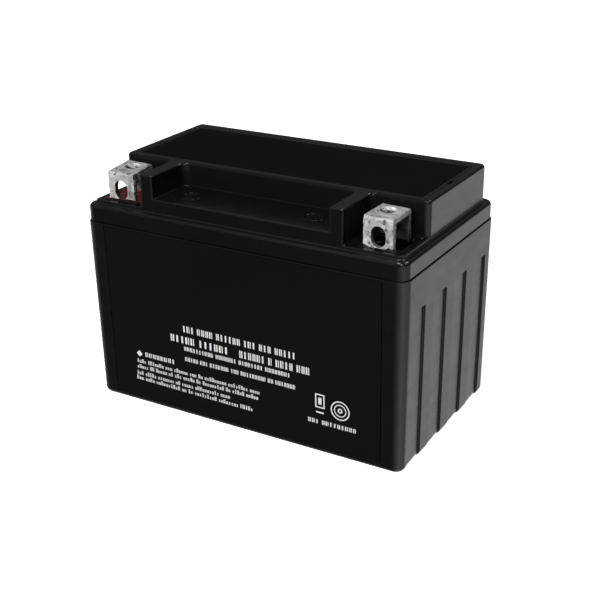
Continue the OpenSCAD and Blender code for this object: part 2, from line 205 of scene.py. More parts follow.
def surface_mesh(field, xs, ys, zs, steps=4):
    """Closed quad mesh of field = 0: one vertex in each grid cell that the surface crosses."""
    values = np.broadcast_to(field(xs[:, None, None], ys[None, :, None], zs[None, None, :]),
                             (len(xs), len(ys), len(zs)))
    inside = values < 0
    counts = inside.astype(np.uint8)
    corners = list(itertools.product((0, 1), repeat=3))
    total = sum(counts[a:len(xs) - 1 + a, b:len(ys) - 1 + b, c:len(zs) - 1 + c]
                for a, b, c in corners)
    mixed = (total > 0) & (total < 8)
    cells = np.nonzero(mixed)
    size = len(cells[0])
    number = np.full(mixed.shape, -1, np.int64)
    number[cells] = np.arange(size)

    def sample(corner):
        index = tuple(cell + step for cell, step in zip(cells, corner))
        return values[index], np.stack([cut[k] for cut, k in zip((xs, ys, zs), index)], 1)

    # each vertex starts at the mean of the crossings on its cell's edges
    samples = {corner: sample(corner) for corner in corners}
    points, crossings = np.zeros((size, 3)), np.zeros(size)
    for corner in corners:
        for axis in range(3):
            if corner[axis]:
                continue
            other = tuple(1 if k == axis else corner[k] for k in range(3))
            value, place = samples[corner]
            other_value, other_place = samples[other]
            crossed = (value < 0) != (other_value < 0)
            share = np.where(crossed, value / np.where(crossed, value - other_value, 1), 0)
            crossing = place + share[:, None] * (other_place - place)
            points += np.where(crossed[:, None], crossing, 0)
            crossings += crossed
    points /= crossings[:, None]
    points, normals = settle(field, points, samples[0, 0, 0][1], samples[1, 1, 1][1], steps)

    quads = []
    for axis, order in enumerate(CELLS_ROUND_EDGE):
        before, after = (inside[tuple(along if k == axis else slice(1, -1) for k in range(3))]
                         for along in (slice(0, -1), slice(1, None)))
        edges = np.stack(np.nonzero(before != after), 1)
        leaves = before[tuple(edges.T)]
        edges = edges + np.array([0 if k == axis else 1 for k in range(3)])
        quad = np.stack([number[tuple((edges + np.array(step)).T)] for step in order], 1)
        quad[~leaves] = quad[~leaves][:, ::-1]
        quads.append(quad)
    return points, np.concatenate(quads), normals


def lathe(profile, centre, sides):
    """A ring-shaped solid about an upright axis at centre.

    The profile is a closed loop of (radius, z) with the solid on its left.
    """
    points = np.array(profile, float)
    along = np.roll(points, -1, 0) - np.roll(points, 1, 0)
    outward = np.stack([along[:, 1], -along[:, 0]], 1)
    outward /= np.linalg.norm(outward, axis=1)[:, None]
    angles = np.arange(sides) * 2 * math.pi / sides

    def turned(pairs):
        return np.stack([np.outer(np.cos(angles), pairs[:, 0]),
                         np.outer(np.sin(angles), pairs[:, 0]),
                         np.tile(pairs[:, 1], (sides, 1))], -1).reshape(-1, 3)

    count = len(points)
    quads = []
    for i in range(sides):
        for j in range(count):
            here, there, k = i * count, (i + 1) % sides * count, (j + 1) % count
            quads.append([here + j, there + j, there + k, here + k])
    return turned(points) + np.array((*centre, 0)), np.array(quads), turned(outward)


def arc(centre_r, centre_z, radius, start, end, steps=3):
    angles = [math.radians(start + (end - start) * i / steps) for i in range(steps + 1)]
    return [(centre_r + radius * math.cos(a), centre_z + radius * math.sin(a)) for a in angles]


def joined(*meshes):
    all_points, all_quads, all_normals = zip(*meshes)
    starts = np.cumsum([0] + [len(points) for points in all_points[:-1]])
    quads = [quad + start for quad, start in zip(all_quads, starts)]
    normals = None if all_normals[0] is None else np.concatenate(all_normals)
    return np.concatenate(all_points), np.concatenate(quads), normals


def build(name, mesh, material, stands_for=None):
    """Makes an object from a mesh: smooth if it has normals, otherwise flat."""
    points, quads, normals = mesh
    data = bpy.data.meshes.new(name)
    data.vertices.add(len(points))
    data.vertices.foreach_set("co", (points / 1000.0).astype(np.float32).ravel())
    data.loops.add(quads.size)
    data.loops.foreach_set("vertex_index", quads.astype(np.int32).ravel())
    data.polygons.add(len(quads))
    starts = np.arange(0, quads.size, quads.shape[1], dtype=np.int32)
    data.polygons.foreach_set("loop_start", starts)
    data.update(calc_edges=True)
    data.polygons.foreach_set("use_smooth", np.full(len(quads), normals is not None))
    if normals is not None:
        data.normals_split_custom_set_from_vertices(normals.astype(np.float32).tolist())
    data.update()
    piece = bpy.data.objects.new(name, data)
    bpy.context.scene.collection.objects.link(piece)
    data.materials.append(material)
    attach(piece, "case")
    if stands_for:
        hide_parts(stands_for)


# -------------------------------------------------------------- container
def outside_cells(x):
    """Distance in x from the nearest of the six cells."""
    return any_of(*[np.abs(x - cell) for cell in CELLS]) - CELL_LENGTH / 2


def container_field(x, y, z, draft=DRAFT):
    lean = draft * (1 - z / SEAM)
    half_x, half_y = HALF_LENGTH - lean, HALF_WIDTH - lean
    side = round_rect(x, y, half_x, half_y, CORNER - lean)
    solid = round_both(side, -z, FOOT)
    solid = round_both(solid, z - SEAM, 0.2)
    # upright channels in the two ends, each deepening towards the back
    end = np.abs(x) - half_x
    nearest = np.clip(np.round((y - CHANNEL_FIRST) / CHANNEL_PITCH), 0, CHANNEL_COUNT - 1)
    offset = y - CHANNEL_FIRST - CHANNEL_PITCH * nearest
    shallow, deep = CHANNEL_DEPTH
    depth = shallow + (deep - shallow) * np.clip(offset / CHANNEL_WIDTH + 0.5, 0, 1)
    above = (z - CHANNEL_TOP - 0.3 * (end + 0.3)) * 0.96
    channel = round_both(round_both(np.abs(offset) - CHANNEL_WIDTH / 2, above, 0.3),
                         -round_both(side + depth, -z - 0.18, FOOT), 0.16)
    channel = np.maximum(channel, 66 - np.abs(x))
    # their top edge has a larger radius
    at_top = (np.clip((z - CHANNEL_TOP + 1.6) / 0.6, 0, 1)
              * np.clip((CHANNEL_WIDTH / 2 - 0.3 - np.abs(offset)) / 0.6, 0, 1))
    solid = round_both(solid, -channel, 0.22 + 0.3 * at_top)
    # shallow panel for the front film, with a deeper groove round it
    front, film_z = -y - half_y, z - 42.15
    panel = all_of(round_rect(x, film_z, 65.4, 38.75, 0.5), -(front + 0.3))
    solid = round_both(solid, -panel, 0.06)
    groove = all_of(round_rect(x, film_z, 65.46, 38.81, 0.5),
                    -round_rect(x, film_z, 65.08, 38.45, 0.4), -(front + 1.1))
    solid = np.maximum(solid, -groove)
    # the six cells and the holes that the welds pass through
    cell = round_both(outside_cells(x), np.abs(y) - INSIDE_Y, 0.5)
    solid = np.maximum(solid, -round_both(cell, FLOOR - z, 0.4))
    for i in range(5):
        side_y = 1 if i % 2 == 0 else -1
        wall_x = (CELLS[i] + CELLS[i + 1]) / 2
        hole = np.maximum(hypot(y + side_y * TERMINAL_Y, z - 77.2) - 3.5,
                          np.abs(x - wall_x) - 1.4)
        solid = np.maximum(solid, -hole)
    return solid


def container_mesh():
    """Meshed with upright sides, so that they follow the grid, then leaned and settled."""
    # fine grid zones: place, half width, step
    xs = mirrored(HALF_LENGTH + MARGIN, 7.0, [
        (72.0, 2.4, 0.36), (74.05, 0.3, 0.1), (74.9, 0.4, 0.1), (65.27, 0.3, 0.11),
    ] + [(wall, 1.1, 0.5) for wall in WALL_LINES])
    channel_edges = [CHANNEL_FIRST + CHANNEL_PITCH * i + side * CHANNEL_WIDTH / 2
                     for i in range(CHANNEL_COUNT) for side in (-1, 1)]
    ys = lines(-HALF_WIDTH - MARGIN, HALF_WIDTH + MARGIN, 6.0, [
        (-41.2, 2.6, 0.36), (41.2, 2.6, 0.36), (-28, 3.6, 0.8), (28, 3.6, 0.8),
    ] + [(edge, 0.35, 0.1) for edge in channel_edges])
    zs = lines(-MARGIN, SEAM + MARGIN, 7.0, [
        (1.2, 1.6, 0.33), (3.5, 0.3, 0.11), (80.8, 0.3, 0.11), (66.6, 0.5, 0.12),
        (81.4, 0.4, 0.12), (77.2, 3.5, 0.8)])
    upright = functools.partial(container_field, draft=0.0)
    points, quads, _ = surface_mesh(upright, xs, ys, zs)
    lean = DRAFT * (1 - points[:, 2] / SEAM)
    for axis, half in ((0, HALF_LENGTH), (1, HALF_WIDTH)):
        place = points[:, axis]
        share = np.clip((np.abs(place) - half + CORNER) / CORNER, 0, 1)
        points[:, axis] -= np.sign(place) * lean * share
    points, normals = settle(container_field, points, points - 0.5, points + 0.5)
    return points, quads, normals


# -------------------------------------------------------------------- lid
def lid_outside(x, y, z):
    """Skirt and ledge, deck, back block, the two ribs and the pocket floors."""
    abs_x = np.abs(x)
    skirt = round_rect(x, y, SKIRT_X, SKIRT_Y, 4.5)
    plan = round_rect(x, y - (FRONT + BACK) / 2, RAISED_X, (BACK - FRONT) / 2,
                      np.where(y > 0, 2.6, 2.2))
    block = np.maximum(round_both(BLOCK_FRONT - y, abs_x - RAISED_X, 2.6), plan)
    rib = np.maximum(np.abs(abs_x - RIB_X) - RIB_HALF, y)
    high = round_either(rib, block, np.where(abs_x < RIB_X, 4.2, 2.4))
    high = round_both(high, FRONT - y, 1.2)
    solid = round_both(high, z - TOP, 1.1 + 0.3 * np.clip((y - BLOCK_FRONT + 3) / 3, 0, 1))
    # floors of the middle pocket and the terminal pockets, and the ledge round them
    lip = np.minimum(round_both(FRONT - y, z - TRAY, 0.7), np.maximum(FRONT - y, solid - 0.45))
    tray = all_of(round_either(solid, z - TRAY, 0.35), abs_x - RIB_X, y, lip)
    solid = np.minimum(solid, tray)
    solid = join_floor(solid, z - DECK, plan, edge=0.6, fillet=0.3)
    solid = join_floor(solid, z - LEDGE, skirt, edge=1.7, fillet=0.9)
    # the skirt stops short of the seam, over a slightly narrower band
    solid = round_both(solid, SEAM + 0.3 - z, 0.2)
    band = all_of(round_rect(x, y, SKIRT_X - 0.22, SKIRT_Y - 0.22, 4.3), SEAM - z, z - 84)
    return np.minimum(solid, band)


def lid_hollow(x, y, z):
    """The underside at its three heights, parted like the container."""
    abs_x = np.abs(x)
    low = all_of(abs_x - INSIDE_X, np.abs(y) - INSIDE_Y, z - (LEDGE - 2.6))
    under_valves = all_of(abs_x - (RAISED_X - 2.4), BLOCK_FRONT + 2.6 - y, y - (BACK - 2.6),
                          z - (VALVE_DECK - 2.6))
    under_tray = all_of(abs_x - (RIB_X - 0.1), FRONT + 2.4 - y, y - (BLOCK_FRONT + 4),
                        z - (TRAY - 2.4))
    return np.maximum(any_of(low, under_valves, under_tray), outside_cells(x))


def lid_field(x, y, z):
    solid = np.maximum(lid_outside(x, y, z), -lid_hollow(x, y, z))
    # chamber over the valves, the rebate for its cover and a notch in the right end of the rebate
    cover_y = y - COVER_Y
    chamber = round_rect(x, cover_y, COVER_HALF_X - 1.6, COVER_HALF_Y - 1.6, 1.6)
    rebate = round_rect(x, cover_y, COVER_HALF_X + 0.12, COVER_HALF_Y + 0.12, 2.12)
    notch = round_both(all_of(np.abs(x - 68.35) - 1.15, COVER_SEAT + 1.1 - z),
                       np.abs(y - 8.3) - 2.5, 0.5)
    solid = np.maximum(solid, -np.maximum(chamber, VALVE_DECK - z))
    solid = round_both(solid, -np.minimum(np.maximum(rebate, COVER_SEAT - z), notch), 0.22)
    # post boss, terminal well and post bore
    from_x, from_y = np.abs(x) - TERMINAL_X, y - TERMINAL_Y
    from_post = hypot(from_x, from_y)
    solid = np.minimum(solid, all_of(from_post - 9, WELL - 4.2 - z, z - WELL - 0.2))
    well = round_both(round_rect(from_x, from_y, 9.0, 10.1, 2.4), WELL - z, 0.3)
    return np.maximum(np.maximum(solid, -well), -(from_post - 4.15))


def nozzle(x):
    """Short tube for a valve cap."""
    foot, shoulder = VALVE_DECK - 0.3, VALVE_DECK + 3.2
    profile = ([(2.5, foot), (4.5, foot)] + arc(4.2, shoulder, 0.3, 0, 90)
               + arc(2.8, shoulder, 0.3, 90, 180))
    return lathe(profile, (x, VALVE_Y), sides=40)


def round_mark(x, y):
    """Thin raised ring on the floor of the middle pocket."""
    profile = ([(3.62, TRAY - 0.25), (4.58, TRAY - 0.25), (4.52, TRAY + 0.12)]
               + arc(4.27, TRAY + 0.13, 0.24, 20, 90)
               + arc(3.93, TRAY + 0.13, 0.24, 90, 160) + [(3.68, TRAY + 0.12)])
    return lathe(profile, (x, y), sides=56)


def lid_mesh():
    # fine grid zones: place, half width, step
    xs = mirrored(SKIRT_X + MARGIN, 6.0, [
        (72.0, 2.6, 0.3), (68.0, 1.9, 0.33),
        (RIB_X - RIB_HALF, 1.3, 0.3), (RIB_X + RIB_HALF, 1.3, 0.3),
        (RIB_X - RIB_HALF - 2.6, 1.8, 0.42), (RIB_X + RIB_HALF + 2, 1.2, 0.4),
        (TERMINAL_X - 9, 0.3, 0.25), (TERMINAL_X - 7.8, 1.4, 0.5), (TERMINAL_X, 9.2, 1.1),
    ] + [(wall, 1.0, 0.6) for wall in WALL_LINES])
    ys = lines(-SKIRT_Y - MARGIN, SKIRT_Y + MARGIN, 6.0, [
        (-41.0, 2.3, 0.3), (-38.0, 0.3, 0.25), (-36.6, 1.5, 0.5), (TERMINAL_Y, 10, 1.1),
        (-19.6, 2.0, 0.4), (-17.8, 0.3, 0.25), (-16.2, 1.6, 0.28), (-13.5, 0.4, 0.2),
        (-12.2, 0.8, 0.4), (5.8, 0.3, 0.2), (10.8, 0.3, 0.2), (31.6, 0.5, 0.4),
        (33.1, 0.4, 0.2), (38.3, 1.6, 0.3), (41.6, 1.6, 0.3)])
    zs = lines(SEAM - MARGIN, TOP + MARGIN, 1.6, [
        (81.7, 0.4, 0.11), (86.4, 0.3, 0.3), (88.3, 1.1, 0.24), (90.4, 0.9, 0.2),
        (92.6, 0.2, 0.3), (94.0, 0.2, 0.3), (94.8, 0.7, 0.2), (96.6, 0.2, 0.3),
        (103.0, 0.3, 0.2), (104.4, 0.9, 0.2)])
    return joined(surface_mesh(lid_field, xs, ys, zs), *[nozzle(cell) for cell in CELLS],
                  round_mark(-29.2, -29.1), round_mark(28.0, -28.2))


# --------------------------------------------------------------- terminals
# side is the sign of x; middle and half_x place the metal across x from the terminal's centre;
# slot_x and slot_half place the slot; reach_left is how far the grid goes towards -x.
Terminal = namedtuple("Terminal", "side seed middle half_x slot_x slot_half reach_left")
POSITIVE = Terminal(side=-1, seed=23, middle=-0.25, half_x=6.65, slot_x=-0.45, slot_half=3.25,
                    reach_left=9.9)
NEGATIVE = Terminal(side=1, seed=11, middle=0.2, half_x=6.2, slot_x=0.25, slot_half=3.08,
                    reach_left=6.9)


def terminal_field(terminal):
    """A box of thick sheet, open at its two x sides, with a hole on top and a slot in front."""
    seed = terminal.seed
    slow, medium, fine = waves(seed, 10, 7.0), waves(seed + 1, 14, 2.6), waves(seed + 2, 18, 1.1)
    ragged = waves(seed + 3, 12, 1.9)
    tall = TERMINAL_TOP - WELL

    def field(x, y, z):
        across = x - terminal.side * TERMINAL_X
        depth = y - TERMINAL_Y
        rise = z - WELL
        # bent by hand: the left one stands askew, the right one has a back corner further forward
        to_back = np.clip((depth + TERMINAL_HALF_Y) / (2 * TERMINAL_HALF_Y), 0, 1)
        if terminal.side > 0:
            depth = depth + 1.5 * np.clip((across + 6.4) / 12.8, 0, 1) * to_back
        else:
            across = across + 0.15 * (depth + TERMINAL_HALF_Y)
            depth = depth - 0.9 * np.clip((6.4 - across) / 12.8, 0, 1) * to_back
        # cast surface
        lump = 0.05 * slow(x, y, z) + 0.035 * medium(x, y, z) + 0.018 * fine(x, y, z)
        pit = np.maximum(0, medium(y * 1.7, z * 1.7, x * 1.7) - 0.8) * 0.35
        sides = np.abs(across - terminal.middle) - terminal.half_x + 0.12 * ragged(y, z, x)
        outline = round_rect(depth, rise - tall / 2 + 2, TERMINAL_HALF_Y, tall / 2 + 2, 1.15)
        outer = round_both(outline, sides, 0.24)
        inner = round_rect(depth - 0.3, rise - (tall - 0.85) / 2,
                           TERMINAL_HALF_Y - 2.5, (tall - 3.65) / 2, 0.8)
        solid = round_both(outer + lump + pit, -(inner - 0.06 * medium(x, y, z)), 0.25)
        # bolt hole in the top, burred and slightly off round
        from_hole = hypot(across + 0.3, depth - 1.5)
        burr_radius = 0.30 * np.clip(0.55 + 0.35 * (depth - 1.5) / 3.1, 0, 1)
        burr = hypot(from_hole - 3.5, rise - tall + 0.02) - burr_radius + 0.05 * fine(x, y, z)
        solid = round_either(solid, burr, 0.12)
        hole = np.maximum(from_hole - 3.3 + 0.07 * medium(x, y, z), 9 - rise)
        solid = round_both(solid, -hole, 0.15)
        # upright slot through the front leg
        half = terminal.slot_half
        slot = round_rect(across - terminal.slot_x, rise - 6.55, half, 4.15, half)
        slot = np.maximum(slot + 0.05 * medium(x, y, z), depth + 5.0)
        return round_both(solid, -slot, 0.2) * 0.9

    return field


def terminal_mesh(terminal):
    step = 0.24
    centre = terminal.side * TERMINAL_X
    whole = terminal_field(terminal)

    def field(x, y, z):
        return np.maximum(whole(x, y, z), WELL - z)

    return surface_mesh(field, even(centre - terminal.reach_left, centre + 6.9, step),
                        even(TERMINAL_Y - 9.0, TERMINAL_Y + 9.0, step),
                        even(WELL - MARGIN, TERMINAL_TOP + 0.5, step))


def bell(across, depth, width_x, width_y):
    """A bump that falls off from 1; the widths are squared lengths."""
    return np.exp(-(across ** 2 / width_x + depth ** 2 / width_y))


def potting_field(terminal, seed, rough):
    """Resin that fills the well round a terminal; rough scales its spill and unevenness."""
    metal = terminal_field(terminal)
    slow, medium, fine = waves(seed, 12, 6.0), waves(seed + 1, 16, 2.3), waves(seed + 2, 18, 1.2)
    side = terminal.side

    def field(x, y, z):
        across, depth = x - side * TERMINAL_X, y - TERMINAL_Y
        outer = side * across              # across, growing away from the middle of the lid
        spill = (0.45 * slow(x, y, 0.0) + 0.2 * medium(x, y, 0.0)) * rough
        # the top lies just above the pocket floor, is uneven by the outer corners and is
        # splashed by the legs
        near = bell(outer - 6.4, depth + 8.8, 5.0, 5.0) + bell(outer - 7.0, depth - 6.5, 5.0, 5.0)
        splash = (bell(outer + 5.7, depth + 8.9, 3.0, 1.6)
                  + bell(outer - 5.4, depth + 8.9, 3.2, 1.8))
        splash = splash + 0.8 * bell(across + 3, depth - 6.0, 12.0, 1.6)
        if side < 0:
            front = np.clip((across + 9.5) / 12, 0, 1) * np.exp(-(depth + 9.0) ** 2 / 1.3)
            splash = 0.3 * splash + 2.3 * front
        lift = (0.05 * slow(y, x, 0.0) + (0.03 + 0.16 * near) * medium(y, x, 0.0)
                + (0.01 + 0.12 * near) * fine(y, x, 0.0))
        top = z - (DECK + 0.06 + rough * lift + 0.85 * rough * splash)
        # it climbs the legs a little
        leg = all_of(np.abs(across) - 6.4, np.abs(np.abs(depth) - 7.4) - 1.1)
        top = top - 0.10 * np.exp(-np.maximum(leg, 0) / 0.45)
        over = round_both(round_rect(across, depth, 9.35 + spill, 10.35 + spill, 2.6), top, 0.16)
        pool = np.maximum(round_rect(across, depth, 8.96, 10.06, 2.4), z - DECK)
        solid = np.minimum(np.maximum(over, DECK + 0.02 - z), np.maximum(pool, top))
        return all_of(solid, WELL + 0.03 - z, 0.03 - metal(x, y, z))

    return field


def potting_mesh(terminal, seed, rough):
    step = 0.28
    centre = terminal.side * TERMINAL_X
    zs = np.concatenate([np.arange(WELL - MARGIN, DECK - 0.3, 0.45),
                         np.arange(DECK - 0.3, DECK + 2.0, 0.14)])
    return surface_mesh(potting_field(terminal, seed, rough),
                        even(centre - 11.0, centre + 11.0, step),
                        even(TERMINAL_Y - 12.0, TERMINAL_Y + 12.0, step), zs, steps=3)


# Frozen splashes of resin: x, y, height of the centre above the ground they lie on, radius.
DECK_BEADS = [
    (66.9, -37.4, 0.05, 0.55), (68.4, -39.2, 0.05, 0.5), (69.3, -35.3, 0.05, 0.45),
    (70.4, -39.9, 0.05, 0.5), (64.9, -37.6, 0.05, 0.5), (66.8, -24.4, 0.05, 0.6),
    (68.0, -22.9, 0.05, 0.65), (67.3, -21.2, 0.05, 0.5), (69.9, -19.4, 0.05, 0.5),
    (63.2, -37.7, 0.05, 0.4)]
LEDGE_BEADS = [(72.6, -41.6, -0.15, 0.55), (73.0, -42.5, -0.75, 0.5), (73.4, -41.2, -0.55, 0.45)]


def bead(centre, radius, seed):
    bump = waves(seed, 8, 1.6 * radius)
    bead_x, bead_y, bead_z = centre

    def field(x, y, z):
        away = hypot(hypot(x - bead_x, y - bead_y), (z - bead_z) * 1.35)
        return (away - radius) * 0.8 + 0.12 * radius * bump(x, y, z)

    cuts = [even(c - 1.35 * radius, c + 1.35 * radius, radius / 4.5) for c in centre]
    return surface_mesh(field, *cuts, steps=3)


def beads(table, ground, seed):
    return [bead((x, y, ground + z), radius, seed + i)
            for i, (x, y, z, radius) in enumerate(table)]


# ------------------------------------------------------------ print on the front film
PRINT_BACK, PRINT_FRONT = 0.02, -0.035     # y of a mark's two faces from the film

# Lines of print: x from, x to, z of the foot, stroke height, lesser height that some strokes
# have, stroke width as a share of the pitch, drop over the line, strokes in each word.
PRINT_LINES = [
    (-27.4, 27.9, 39.9, 2.9, None, 0.27, 0.0, (3, 4, 6, 3, 3, 5)),
    (-34.0, -4.2, 34.5, 3.2, None, 0.27, 0.0, (5, 6)),
    (0.6, 34.2, 34.5, 3.2, None, 0.27, 0.0, (6, 1, 4, 3)),
    (-27.2, 25.0, 31.2, 1.9, None, 0.29, 0.0, (10, 7, 8, 8)),
    (-27.0, 27.3, 26.4, 1.9, None, 0.29, 0.0, (5, 3, 7, 3, 9, 2, 7)),
    (-48.4, -32.2, 23.3, 2.1, None, 0.27, 0.0, (8,)),
    (-53.0, 10.1, 19.7, 1.9, 1.25, 0.3, 0.0, (4, 7, 3, 6, 3, 2, 9, 8, 4)),
    (-53.2, 9.3, 17.0, 1.9, 1.25, 0.3, 0.0, (5, 2, 5, 2, 3, 5, 2, 9, 2, 5, 5)),
    (-53.6, -4.7, 13.8, 1.9, 1.25, 0.3, 0.0, (3, 5, 7, 2, 5, 10, 4)),
    (-53.8, 6.5, 11.4, 1.9, 1.25, 0.3, -0.6, (3, 4, 10, 2, 2, 9, 8, 5)),
    (32.7, 54.9, 13.7, 1.9, None, 0.27, 0.0, (3, 9)),
]
WORD_GAP = 0.62                            # in stroke pitches

# An upright frame with a block in it and a foot: x from, x to, z from, z to.
FRAME_MARK = [(36.2, 36.75, 21.0, 27.2), (39.95, 40.5, 21.0, 27.2), (36.75, 39.95, 26.7, 27.2),
              (36.75, 39.95, 21.0, 21.5), (37.6, 39.1, 22.6, 25.6), (36.6, 40.1, 18.6, 19.3)]


def film_y(z):
    """The outer surface of the front film at height z."""
    return -(HALF_WIDTH - DRAFT * (1 - z / SEAM)) + 0.08


def plate(corners):
    """A thin raised plate on the film, from its four (x, z) corners."""
    points = [(x, film_y(z) + out, z) for out in (PRINT_BACK, PRINT_FRONT) for x, z in corners]
    quads = [[4, 5, 6, 7], [0, 1, 5, 4], [1, 2, 6, 5], [2, 3, 7, 6], [3, 0, 4, 7], [3, 2, 1, 0]]
    return np.array(points), np.array(quads), None


def block(left, right, low, high):
    return plate([(left, low), (right, low), (right, high), (left, high)])


def ring(centre_x, centre_z, inner, outer, sides=48):
    points, quads = [], []
    for i in range(sides):
        angle = 2 * math.pi * i / sides
        for radius in (inner, outer):
            x, z = centre_x + radius * math.cos(angle), centre_z + radius * math.sin(angle)
            points += [(x, film_y(z) + out, z) for out in (PRINT_BACK, PRINT_FRONT)]
        a, b = 4 * i, 4 * ((i + 1) % sides)
        quads += [[a + 1, a + 3, b + 3, b + 1], [a + 3, a + 2, b + 2, b + 3],
                  [a, a + 1, b + 1, b], [a, b, b + 2, a + 2]]
    return np.array(points), np.array(quads), None


def print_line(random, left, right, foot, high, low, stroke, drop, words):
    """A line of plain upright strokes grouped like words."""
    blocks = []
    pitch = (right - left) / (sum(words) + WORD_GAP * (len(words) - 1))
    x = left
    for word in words:
        for _ in range(word):
            base = foot + drop * (x - left) / (right - left)
            tall = high if (low is None or random.rand() < 0.3) else low
            kind = random.rand()
            # strokes of one letter: place in the pitch, relative width
            if kind < 0.3:
                strokes = [(0.36, 1.3)]
            elif kind < 0.75:
                strokes = [(0.18, 1.0), (0.60, 1.0)]
            else:
                strokes = [(0.16, 1.25), (0.62, 0.7)]
            for place, wide in strokes:
                middle, half = x + place * pitch, stroke * pitch * wide / 2
                blocks.append(block(middle - half + 0.04, middle + half + 0.04,
                                    base, base + tall))
            x += pitch
        x += WORD_GAP * pitch
    return blocks


def print_mesh():
    random = np.random.RandomState(5)
    marks = []
    for row in PRINT_LINES:
        marks += print_line(random, *row)
    # a lozenge, the frame and three rings about one centre
    x, z = -51.4, 24.2
    marks.append(plate([(x, z - 1.5), (x + 1.6, z), (x, z + 1.5), (x - 1.6, z)]))
    marks += [block(*sides) for sides in FRAME_MARK]
    for inner, outer, sides in ((3.75, 4.25, 48), (2.35, 2.75, 48), (0.55, 1.05, 24)):
        marks.append(ring(47.5, 22.0, inner, outer, sides))
    return joined(*marks)


# ---------------------------------------------------------------- shader tools
def colour(value):
    """A grey level or an (r, g, b), with full alpha."""
    return (value, value, value, 1) if isinstance(value, (int, float)) else (*value, 1)


class Graph:
    """Short names for building the node tree of a material or world."""

    def __init__(self, owner):
        owner.use_nodes = True
        self.tree = owner.node_tree
        self.tree.nodes.clear()

    def feed(self, socket, value):
        if isinstance(value, bpy.types.NodeSocket):
            self.tree.links.new(value, socket)
        else:
            socket.default_value = colour(value) if socket.type == "RGBA" else value

    def node(self, kind, **inputs):
        made = self.tree.nodes.new(kind)
        for name, value in inputs.items():
            self.feed(made.inputs[name.replace("_", " ")], value)
        return made

    def math(self, operation, first, second=0.0):
        made = self.node("ShaderNodeMath")
        made.operation = operation
        self.feed(made.inputs[0], first)
        self.feed(made.inputs[1], second)
        return made.outputs[0]

    def plus(self, first, second):
        return self.math("ADD", first, second)

    def minus(self, first, second):
        return self.math("SUBTRACT", first, second)

    def times(self, *factors):
        return functools.reduce(lambda a, b: self.math("MULTIPLY", a, b), factors)

    def absolute(self, value):
        return self.math("ABSOLUTE", value)

    def above(self, value, limit):
        return self.math("GREATER_THAN", value, limit)

    def below(self, value, limit):
        return self.math("LESS_THAN", value, limit)

    def between(self, value, low, high):
        return self.times(self.above(value, low), self.below(value, high))

    def remap(self, value, to=(0, 1), over=(0, 1), kind="LINEAR"):
        """Takes the range over to the range to, clamped."""
        made = self.node("ShaderNodeMapRange", Value=value, From_Min=over[0], From_Max=over[1],
                         To_Min=to[0], To_Max=to[1])
        made.interpolation_type = kind
        return made.outputs["Result"]

    def mix(self, share, first, second):
        made = self.node("ShaderNodeMix")
        made.data_type = "RGBA"
        for index, value in ((0, share), (6, first), (7, second)):
            self.feed(made.inputs[index], value)
        return made.outputs[2]

    def ramp(self, value, *stops):
        """Colour ramp through stops of (position, colour)."""
        made = self.node("ShaderNodeValToRGB", Fac=value)
        elements = made.color_ramp.elements
        while len(elements) > 1:
            elements.remove(elements[-1])
        elements[0].position = stops[0][0]
        elements[0].color = colour(stops[0][1])
        for position, shade in stops[1:]:
            elements.new(position).color = colour(shade)
        return made.outputs["Color"]

    def spots(self, value, full, none):
        """1 where value is under full, 0 where it is over none."""
        return self.ramp(value, (0.0, 1.0), (full, 1.0), (none, 0.0), (1.0, 0.0))

    def split(self, vector):
        return self.node("ShaderNodeSeparateXYZ", Vector=vector).outputs


class Surface(Graph):
    """A material of one principled shader, textured in object space (metres)."""

    def __init__(self, name):
        self.material = bpy.data.materials.new(name)
        super().__init__(self.material)
        self.place = self.node("ShaderNodeTexCoord").outputs["Object"]

    def xyz(self):
        return self.split(self.place)

    def face_normal(self):
        return self.split(self.node("ShaderNodeNewGeometry").outputs["True Normal"])

    def noise(self, scale, detail=3.0, roughness=0.5, stretch=None, turn=(0, 0, 0),
              distortion=0.0):
        vector = self.place
        if stretch:
            vector = self.node("ShaderNodeMapping", Vector=vector, Scale=stretch,
                               Rotation=turn).outputs["Vector"]
        return self.node("ShaderNodeTexNoise", Vector=vector, Scale=scale, Detail=detail,
                         Roughness=roughness, Distortion=distortion).outputs["Fac"]

    def bands(self, direction, scale, distortion=0.0):
        made = self.node("ShaderNodeTexWave", Vector=self.place, Scale=scale,
                         Distortion=distortion)
        made.wave_type, made.bands_direction = "BANDS", direction
        return made.outputs["Fac"]

    def bump(self, height, distance, strength, under=None):
        """Bump of the given distance in metres, over the bump under it if there is one."""
        made = self.node("ShaderNodeBump", Height=height, Distance=distance, Strength=strength)
        if under is not None:
            self.feed(made.inputs["Normal"], under)
        return made.outputs["Normal"]

    def finish(self, **inputs):
        shader = self.node("ShaderNodeBsdfPrincipled", **inputs).outputs["BSDF"]
        self.node("ShaderNodeOutputMaterial", Surface=shader)
        return self.material


# ---------------------------------------------------------------- case and lid plastic
def moulded(surface, dark, light, rough, dust):
    """Satin plastic: faint flow marks, fine grain, specks of dust and handling marks."""
    grain = 0.00002
    flow = surface.noise(22, roughness=0.55, stretch=(1, 1, 0.35))
    speck = surface.noise(1500, detail=2, roughness=0.6)
    base = surface.mix(surface.remap(flow, over=(0.35, 0.65)), dark, light)
    specks = surface.ramp(surface.noise(2600, detail=2), (0.0, 0.0), (0.70, 0.0), (0.76, 1.0))
    base = surface.mix(surface.times(specks, dust), base, (0.10, 0.10, 0.105))
    rubbing = surface.noise(60, detail=5, roughness=0.62, stretch=(1, 1, 4))
    roughness = surface.plus(surface.remap(rubbing, to=rough, over=(0.3, 0.7)),
                             surface.remap(speck, to=(-0.02, 0.02)))
    normal = surface.bump(speck, grain, strength=0.5)
    normal = surface.bump(surface.noise(95, detail=2), grain * 6, strength=0.35, under=normal)
    return base, roughness, normal


CHANNELS_END = 0.0385                      # the channels lie within this distance of y = 0


